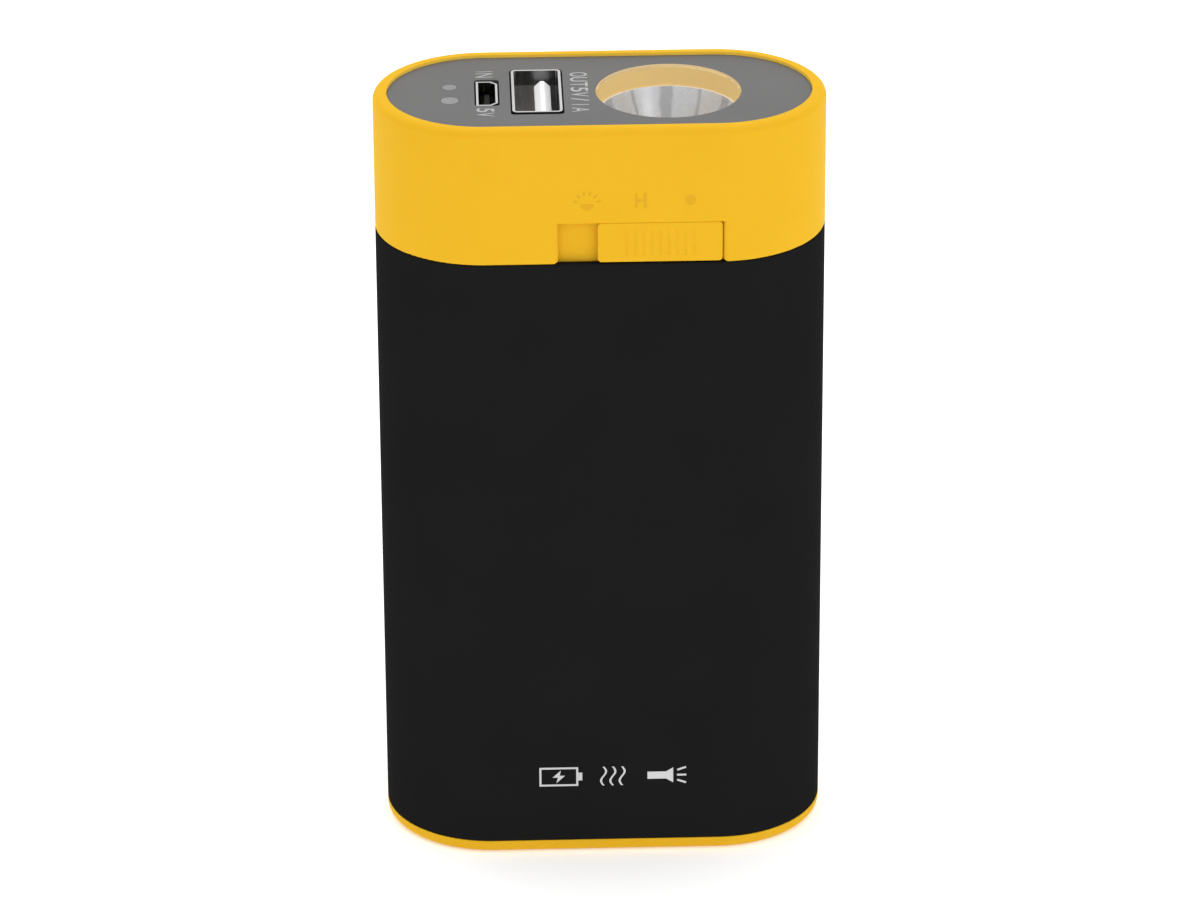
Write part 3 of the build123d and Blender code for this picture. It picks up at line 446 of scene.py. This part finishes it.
phosphor = {
    "dark": (0.8, 0.56, 0.09),
    "light": (0.9, 0.68, 0.16),
    "grainScale": 4000.0,
    "grainDepth": 0.002 * mm,
    "smooth": 0.08,
    "rough": 0.16,
    "coat": 1.0,
}
dress(finishWith("phosphor", phosphor), "torch_led_dome")

whiteNylon = {
    "dark": (0.74, 0.74, 0.72),
    "light": (0.82, 0.82, 0.8),
    "grainScale": 5000.0,
    "grainDepth": 0.006 * mm,
    "smooth": 0.35,
    "rough": 0.5,
}
dress(
    finishWith("whiteNylon", whiteNylon),
    "torch_led", "reflector_spacer", "indicator_lamps", "torch_led_board",
)
print("torch done")


# sockets, lights and screws

nickel = {
    "dark": (0.59, 0.59, 0.585),
    "light": (0.68, 0.68, 0.675),
    "grainScale": 3000.0,
    "stretch": (1.0, 1.0, 0.05),  # rolling lines
    "grainDepth": 0.003 * mm,
    "smooth": 0.14,
    "rough": 0.3,
    "metallic": 1.0,
}
nickelSheet = finishWith("nickelSheet", nickel)
dress(
    nickelSheet,
    "switch_frame", "switch_pins",
    "positive_tab", "negative_tab", "cell_can_left", "cell_can_right",
)

# painted shade inside the sockets' mouths: darker walls under the rim
mouthPaintedShade = {
    "depth": 1.9 * mm,
    "blend": 0.2 * mm,
    "rimTilt": 0.5,
    "near": (0.18, 0.18, 0.18, 1.0),
    "far": (0.58, 0.58, 0.58, 1.0),
}


def paintMouthShade(mat, shade, top):
    # painted shade: the drawn walls inside the mouth are painted darker than the rim, and darkest close to it
    links = mat.node_tree.links
    shader = mat.node_tree.nodes["Principled BSDF"]
    depth = addNode(mat, "ShaderNodeMapRange")
    depth.inputs["From Min"].default_value = top - shade["depth"]
    depth.inputs["From Max"].default_value = top - shade["depth"] + shade["blend"]
    walls = addNode(mat, "ShaderNodeMixRGB", Color1=shade["far"], Color2=shade["near"])
    whole = addNode(mat, "ShaderNodeMixRGB")
    rim = compared(mat, faceTilt(mat), "GREATER_THAN", shade["rimTilt"])
    links.new(objectHeight(mat), depth.inputs["Value"])
    links.new(depth.outputs["Result"], walls.inputs["Fac"])
    links.new(rim, whole.inputs["Fac"])
    links.new(walls.outputs["Color"], whole.inputs["Color1"])
    links.new(shader.inputs["Base Color"].links[0].from_socket, whole.inputs["Color2"])
    links.new(whole.outputs["Color"], shader.inputs["Base Color"])


# the sockets' shells, with painted shade in their mouths
mouthSheetPaintedShade = finishWith("mouthSheetPaintedShade", nickel)
paintMouthShade(mouthSheetPaintedShade, mouthPaintedShade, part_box("out_socket_shell")[1][2])
dress(mouthSheetPaintedShade, "out_socket_shell", "in_socket_shell")

tongueWhite = {
    "dark": (0.92, 0.92, 0.92),
    "light": (0.95, 0.95, 0.95),
    "grainScale": 5000.0,
    "grainDepth": 0.004 * mm,
    "smooth": 0.5,
    "rough": 0.6,
    "specular": 0.2,
}
dress(finishWith("tongueWhite", tongueWhite), "out_socket_insulator")

gilt = {
    "dark": (0.78, 0.5, 0.17),
    "light": (0.9, 0.64, 0.28),
    "grainScale": 4000.0,
    "grainDepth": 0.002 * mm,
    "smooth": 0.16,
    "rough": 0.28,
    "metallic": 1.0,
}
dress(finishWith("giltBronze", gilt), "out_socket_contacts", "in_socket_contacts", "switch_bridge")

frosted = {
    "dark": (0.2, 0.2, 0.2),
    "light": (0.25, 0.25, 0.25),
    "grainScale": 6000.0,
    "grainDepth": 0.01 * mm,
    "smooth": 0.45,
    "rough": 0.6,
}
dress(finishWith("frostedLight", frosted), "charge_light_pipe", "power_light_pipe")

screwZinc = {
    "dark": (0.42, 0.42, 0.43),
    "light": (0.55, 0.55, 0.56),
    "grainScale": 2500.0,
    "grainDepth": 0.006 * mm,
    "smooth": 0.22,
    "rough": 0.42,
    "metallic": 1.0,
}
dress(finishWith("screwZinc", screwZinc), "head_screws", "base_screws")

sealRubber = {
    "dark": (0.006, 0.006, 0.006),
    "light": (0.01, 0.01, 0.01),
    "grainScale": 3500.0,
    "grainDepth": 0.01 * mm,
    "smooth": 0.6,
    "rough": 0.8,
    "specular": 0.1,
}
dress(finishWith("sealRubber", sealRubber), "socket_seals")

blackNylon = {
    "dark": (0.013, 0.013, 0.013),
    "light": (0.02, 0.02, 0.02),
    "grainScale": 4000.0,
    "grainDepth": 0.01 * mm,
    "smooth": 0.5,
    "rough": 0.65,
    "specular": 0.06,
}
dress(
    finishWith("blackNylon", blackNylon),
    "in_socket_insulator", "switch_base", "switch_lever", "cell_chassis", "thermal_cutout",
)
print("sockets and lights done")


# board and what is on it

maskGreen = {
    "dark": (0.008, 0.09, 0.035),
    "light": (0.015, 0.16, 0.06),
    "trackWidth": 0.16,
    "trackScale": 420.0,
    "roughness": 0.28,
    "relief": 0.03 * mm,
    "reliefStrength": 0.4,
}
board, shader = startMaterial("boardMask")
coords = addNode(board, "ShaderNodeTexCoord")
tracks = addNode(board, "ShaderNodeTexVoronoi", Scale=maskGreen["trackScale"])
tracks.feature = "DISTANCE_TO_EDGE"
board.node_tree.links.new(coords.outputs["Object"], tracks.inputs["Vector"])
fromTrack = tracks.outputs["Distance"]
twoTones(board, shader, fromTrack, maskGreen["light"], maskGreen["dark"], 0.0, maskGreen["trackWidth"])
reliefFrom(board, shader, fromTrack, maskGreen["relief"], maskGreen["reliefStrength"])
shader.inputs["Roughness"].default_value = maskGreen["roughness"]
dress(board, "main_board")

smallParts = {
    "chipResin": ((0.018, 0.018, 0.019), (0.03, 0.03, 0.032), ("control_chips", "resistors")),
    "ferrite": ((0.035, 0.035, 0.04), (0.06, 0.06, 0.066), ("power_coil",)),
    "ceramic": ((0.36, 0.25, 0.15), (0.46, 0.33, 0.21), ("capacitors",)),
}
smallPartGrain = {"grainScale": 7000.0, "grainDepth": 0.01 * mm, "smooth": 0.4, "rough": 0.65}
for name, (dark, light, wearers) in smallParts.items():
    dress(finishWith(name, {"dark": dark, "light": light, **smallPartGrain}), *wearers)
print("board done")


# cells, heaters and leads

cellSleeve = {
    "dark": (0.035, 0.12, 0.33),
    "light": (0.05, 0.16, 0.42),
    "grainScale": 700.0,
    "stretch": (1.0, 1.0, 0.2),
    "grainDepth": 0.02 * mm,
    "smooth": 0.2,
    "rough": 0.32,
}
dress(finishWith("cellSleeve", cellSleeve), "cell_wrap_left", "cell_wrap_right")

winding = {
    "dark": (0.12, 0.12, 0.12),
    "light": (0.3, 0.3, 0.3),
    "patchScale": 900.0,
    "grainScale": 2000.0,
    "grainDepth": 0.02 * mm,
    "smooth": 0.4,
    "rough": 0.6,
    "metallic": 0.6,
}
dress(finishWith("woundFoil", winding), "cell_core_left", "cell_core_right")

sheets = {
    "paperRing": ((0.62, 0.6, 0.54), (0.72, 0.7, 0.65), 2500.0, ("cell_insulators",)),
    "glassSheet": (
        (0.6, 0.6, 0.57), (0.72, 0.72, 0.69), 1800.0,
        ("insulation_sheet_front", "insulation_sheet_back"),
    ),
    # clear glue, which shows the yellow under it
    "acrylicFilm": ((0.84, 0.58, 0.18), (0.9, 0.64, 0.22), 1500.0, ("panel_adhesive",)),
}
sheetGrain = {"grainDepth": 0.02 * mm, "smooth": 0.6, "rough": 0.85}
for name, (dark, light, scale, wearers) in sheets.items():
    dress(finishWith(name, {"dark": dark, "light": light, "grainScale": scale, **sheetGrain}), *wearers)

heaterTrack = {
    "film": (0.42, 0.16, 0.02),
    "track": (0.24, 0.2, 0.17),
    "pitch": 160.0,
    "edge": 0.5,
    "edgeWidth": 0.06,
    "roughness": 0.3,
    "relief": 0.02 * mm,
    "reliefStrength": 0.5,
}
heater, shader = startMaterial("heaterFilm")
coords = addNode(heater, "ShaderNodeTexCoord")
bands = addNode(heater, "ShaderNodeTexWave", Scale=heaterTrack["pitch"])
bands.bands_direction = "X"
heater.node_tree.links.new(coords.outputs["Object"], bands.inputs["Vector"])
trackEnd = heaterTrack["edge"] + heaterTrack["edgeWidth"]
twoTones(
    heater, shader, bands.outputs["Fac"],
    heaterTrack["film"], heaterTrack["track"], heaterTrack["edge"], trackEnd,
)
reliefFrom(heater, shader, bands.outputs["Fac"], heaterTrack["relief"], heaterTrack["reliefStrength"])
shader.inputs["Roughness"].default_value = heaterTrack["roughness"]
dress(heater, "heater_film_front", "heater_film_back")

leads = {
    "yellowSleeve": ((0.66, 0.5, 0.05), (0.76, 0.6, 0.09), ("heater_leads_front", "heater_leads_back")),
    "redSleeve": ((0.5, 0.02, 0.012), (0.62, 0.03, 0.02), ("battery_lead_positive",)),
    "blackSleeve": ((0.014, 0.014, 0.014), (0.024, 0.024, 0.024), ("battery_lead_negative",)),
}
sleeveGrain = {"grainScale": 3000.0, "grainDepth": 0.01 * mm, "smooth": 0.35, "rough": 0.5}
for name, (dark, light, wearers) in leads.items():
    dress(finishWith(name, {"dark": dark, "light": light, **sleeveGrain}), *wearers)
print("cells, heaters and leads done")


# printed legends on the panel and pictograms on the tube

legendInk = {
    "dark": (0.36, 0.36, 0.36),
    "light": (0.42, 0.42, 0.42),
    "grainScale": 9000.0,
    "grainDepth": 0.004 * mm,
    "smooth": 0.4,
    "rough": 0.55,
}
legendPrint = finishWith("legendPrint", legendInk)
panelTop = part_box("top_panel")[1][2]
legends = {
    "height": 2.03 * mm,  # along X, the letters' tops are towards +X
    "bold": 0.012,  # how much each stroke is widened, before the letter is stretched
    "thick": 0.02 * mm,
    "letterWidth": 0.86,  # share of a letter's pitch
    "narrow": {"I": 0.15, "1": 0.17, "/": 0.75},
    "advance": {"I": 0.55},  # the letters not named here take a whole pitch
    "lines": {
        "legendIn": ("IN", -14.15 * mm, 7.05 * mm, 1.5 * mm),
        "legendVolts": ("5V", -14.15 * mm, -4.6 * mm, 1.35 * mm),
        "legendOut": ("OUT5V/1A", -3.3 * mm, 6.15 * mm, 1.56 * mm),
    },
}


def onlySelect(obj):
    bpy.ops.object.select_all(action="DESELECT")
    obj.select_set(True)
    bpy.context.view_layer.objects.active = obj


def joined(name, parts, mat, thick):
    # one printed piece from its flat parts, given the ink's thickness
    bpy.ops.object.select_all(action="DESELECT")
    for part in parts:
        part.select_set(True)
    bpy.context.view_layer.objects.active = parts[0]
    bpy.ops.object.join()
    obj = bpy.context.object
    obj.name = name
    obj.data.name = name
    thicken = obj.modifiers.new("ink", "SOLIDIFY")
    thicken.thickness = thick
    thicken.offset = 1.0
    bpy.ops.object.modifier_apply(modifier="ink")
    obj.data.materials.clear()
    obj.data.materials.append(mat)
    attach(obj, "housing")
    return obj


def flatLetter(letter, lowX, middleY, pitch):
    # one letter as a flat mesh, stretched to its width and turned so that it reads from the right
    bpy.ops.object.select_all(action="DESELECT")
    bpy.ops.object.text_add()
    bpy.context.object.data.body = letter
    bpy.context.object.data.offset = legends["bold"]
    bpy.ops.object.convert(target="MESH")
    bpy.ops.object.mode_set(mode="EDIT")
    bpy.ops.mesh.select_all(action="SELECT")
    bpy.ops.mesh.beautify_fill()  # a letter's flat slivers would tilt the ink
    bpy.ops.object.mode_set(mode="OBJECT")
    obj = bpy.context.object
    xs = [v.co.x for v in obj.data.vertices]
    ys = [v.co.y for v in obj.data.vertices]
    width = pitch * legends["letterWidth"] * legends["narrow"].get(letter, 1.0)
    wide = width / (max(xs) - min(xs))
    tall = legends["height"] / (max(ys) - min(ys))
    obj.scale = (wide, tall, 1.0)
    obj.rotation_euler = (0.0, 0.0, -math.pi / 2)
    obj.location = (lowX - min(ys) * tall, middleY + wide * (max(xs) + min(xs)) / 2, panelTop)
    bpy.ops.object.transform_apply(location=True, rotation=True, scale=True)
    return obj


def addLegend(name, words, lowX, startY, pitch):
    letters = []
    for letter in words:
        step = pitch * legends["advance"].get(letter, 1.0)
        letters.append(flatLetter(letter, lowX, startY - step / 2, pitch))
        startY -= step
    legend = joined(name, letters, legendPrint, legends["thick"])


for name, (words, lowX, startY, pitch) in legends["lines"].items():
    addLegend(name, words, lowX, startY, pitch)
print("legends done")

markInk = {
    "dark": (0.63, 0.33, 0.01),
    "light": (0.68, 0.36, 0.012),
    "grainScale": 9000.0,
    "grainDepth": 0.006 * mm,
    "smooth": 0.5,
    "rough": 0.6,
    "specular": 0.1,
}
pictogramInk = {
    "dark": (0.5, 0.5, 0.5),
    "light": (0.6, 0.6, 0.6),
    "grainScale": 7000.0,
    "grainDepth": 0.004 * mm,
    "smooth": 0.4,
    "rough": 0.55,
    "specular": 0.2,
}
marks = {
    "floor": 0.05 * mm,  # how deep they are engraved
    "fill": 0.045 * mm,
    "height": 7.81 * mm,  # head's lower edge to the marks' middle
    "lampX": -1.85 * mm,
    "heatX": 4.25 * mm,
    "offX": 9.9 * mm,
    "offRadius": 0.62 * mm,
    "stroke": 0.29 * mm,
    "heatWide": 1.29 * mm,
    "heatTall": 1.74 * mm,
    "lampRadius": 0.745 * mm,
    "lampDrop": 0.375 * mm,
    "arcSteps": 24,
    "rays": 6,
    "rayFirst": 15,  # degrees from level
    "rayStep": 30,
    "rayInner": 1.105 * mm,
    "rayLong": 0.49 * mm,
    "rayWide": 0.21 * mm,
}
pictograms = {
    "middle": (0.8 * mm, 10.15 * mm),
    "thick": 0.02 * mm,
    "stroke": 0.24 * mm,
    "batteryX": -6.4 * mm,
    "batteryWide": 4.6 * mm,
    "batteryTall": 2.5 * mm,
    "poleShare": 2.4,  # the frame's height over the pole's
    "bolt": ((0.25, 0.85), (-0.75, -0.1), (-0.1, -0.1), (-0.3, -0.85), (0.75, 0.15), (0.1, 0.15)),
    "heatX": 0.0,
    "heatPitch": 1.1 * mm,
    "heatTall": 2.5 * mm,
    "heatSwing": 0.3 * mm,
    "waveCuts": 23,
    "torchX": 6.4 * mm,
    "handle": (-1.2 * mm, 2.2 * mm, 0.95 * mm),  # place, length and width
    "horn": ((-0.1, -0.48), (0.75, -1.0), (0.75, 1.0), (-0.1, 0.48)),
    "beam": (1.75 * mm, 1.1 * mm),  # place and length
    "beamGap": 0.85 * mm,
    "beamFan": 0.35,
}


def upright(obj, atX, atZ, faceY):
    # turns a flat piece to face the front and puts its back on faceY
    onlySelect(obj)
    obj.rotation_euler = (math.pi / 2, 0.0, 0.0)
    obj.location = (atX, faceY, atZ)
    bpy.ops.object.transform_apply(location=True, rotation=True, scale=True)


def flatBar(x, y, wide, tall, turn=0.0):
    bpy.ops.mesh.primitive_plane_add(size=1.0)
    obj = bpy.context.object
    obj.scale = (wide, tall, 1.0)
    obj.rotation_euler = (0.0, 0.0, turn)
    obj.location = (x, y, 0.0)
    bpy.ops.object.transform_apply(location=True, rotation=True, scale=True)
    return obj


def flatDisc(x, y, radius, sides=48):
    bpy.ops.mesh.primitive_circle_add(radius=radius, vertices=sides, fill_type="NGON")
    obj = bpy.context.object
    obj.location = (x, y, 0.0)
    bpy.ops.object.transform_apply(location=True, rotation=True, scale=True)
    return obj


def flatOutline(points):
    # a filled shape from its corners, in order
    bpy.ops.mesh.primitive_circle_add(radius=1.0, vertices=len(points), fill_type="NGON")
    obj = bpy.context.object
    for vert, (x, y) in zip(obj.data.vertices, points):
        vert.co = (x, y, 0.0)
    onlySelect(obj)
    bpy.ops.object.mode_set(mode="EDIT")
    bpy.ops.mesh.select_all(action="SELECT")
    bpy.ops.mesh.normals_make_consistent(inside=False)
    bpy.ops.object.mode_set(mode="OBJECT")
    if obj.data.polygons[0].normal.z < 0:
        obj.data.flip_normals()
    return obj


def flatRing(x, y, wide, tall, stroke):
    # a rectangular frame: an inset face with its middle taken out
    bar = flatBar(x, y, wide, tall)
    bpy.ops.object.mode_set(mode="EDIT")
    bpy.ops.mesh.select_all(action="SELECT")
    bpy.ops.mesh.inset(thickness=stroke)
    bpy.ops.mesh.delete(type="FACE")
    bpy.ops.object.mode_set(mode="OBJECT")
    return bar


def waveLine(x, tall, swing, stroke):
    # an upright wavy stroke: a divided bar whose points swing from side to side
    bar = flatBar(0.0, 0.0, stroke, tall)
    bpy.ops.object.mode_set(mode="EDIT")
    bpy.ops.mesh.select_all(action="DESELECT")
    bpy.ops.object.mode_set(mode="OBJECT")
    for edge in bar.data.edges:
        ends = [bar.data.vertices[i].co for i in edge.vertices]
        edge.select = abs(ends[0].y - ends[1].y) > tall / 2
    bpy.ops.object.mode_set(mode="EDIT")
    bpy.ops.mesh.select_mode(type="EDGE")
    bpy.ops.mesh.subdivide(number_cuts=pictograms["waveCuts"])
    bpy.ops.object.mode_set(mode="OBJECT")
    for vert in bar.data.vertices:
        vert.co.x += x + swing * math.sin(2 * math.pi * vert.co.y / tall)
    return bar


def addMarks():
    ink = finishWith("markInk", markInk)
    faceY = cadBox[0][1] + marks["floor"]
    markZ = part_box("body_tube")[1][2] + marks["height"]
    off = flatDisc(marks["offX"], 0.0, marks["offRadius"])
    heatX, stroke = marks["heatX"], marks["stroke"]
    across = flatBar(heatX, 0.0, marks["heatWide"] - 2 * stroke, stroke)
    aside = (marks["heatWide"] - stroke) / 2
    legs = [flatBar(heatX + side * aside, 0.0, stroke, marks["heatTall"]) for side in (-1, 1)]
    lampX, lampY = marks["lampX"], -marks["lampDrop"]
    radius, steps = marks["lampRadius"], marks["arcSteps"]
    arc = [math.radians(180 + 180 * i / steps) for i in range(steps + 1)]
    lamp = flatOutline([(lampX + radius * math.cos(a), lampY + radius * math.sin(a)) for a in arc])
    rays = []
    for i in range(marks["rays"]):
        turn = math.radians(marks["rayFirst"] + marks["rayStep"] * i)
        reach = marks["rayInner"] + marks["rayLong"] / 2
        rays.append(flatBar(
            lampX + reach * math.cos(turn), lampY + reach * math.sin(turn),
            marks["rayLong"], marks["rayWide"], turn,
        ))
    for name, parts in (("markOff", [off]), ("markHeat", [across, *legs]), ("markLamp", [lamp, *rays])):
        mark = joined(name, parts, ink, marks["fill"])
        upright(mark, 0.0, markZ, faceY)


def addPictograms():
    ink = finishWith("pictogramInk", pictogramInk)
    p = pictograms
    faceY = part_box("body_tube")[0][1]
    atX, atZ = p["middle"]
    stroke = p["stroke"]
    wide, tall = p["batteryWide"], p["batteryTall"]
    shell = flatRing(p["batteryX"], 0.0, wide, tall, stroke)
    pole = flatBar(p["batteryX"] + wide / 2 + stroke, 0.0, 2 * stroke, tall / p["poleShare"])
    bolt = flatOutline([(p["batteryX"] + x * mm, y * mm) for x, y in p["bolt"]])
    rows = (-1, 0, 1)
    waves = [waveLine(p["heatX"] + i * p["heatPitch"], p["heatTall"], p["heatSwing"], stroke) for i in rows]
    handleX, handleLong, handleWide = p["handle"]
    handle = flatBar(p["torchX"] + handleX, 0.0, handleLong, handleWide)
    horn = flatOutline([(p["torchX"] + x * mm, y * mm) for x, y in p["horn"]])
    beamX, beamLong = p["beam"]
    beams = [flatBar(p["torchX"] + beamX, i * p["beamGap"], beamLong, stroke, i * p["beamFan"]) for i in rows]
    groups = (
        ("pictogramBattery", [shell, pole, bolt]),
        ("pictogramHeat", waves),
        ("pictogramTorch", [handle, horn, *beams]),
    )
    for name, parts in groups:
        piece = joined(name, parts, ink, p["thick"])
        upright(piece, atX, atZ, faceY)


addMarks()
addPictograms()
print("marks and pictograms done")
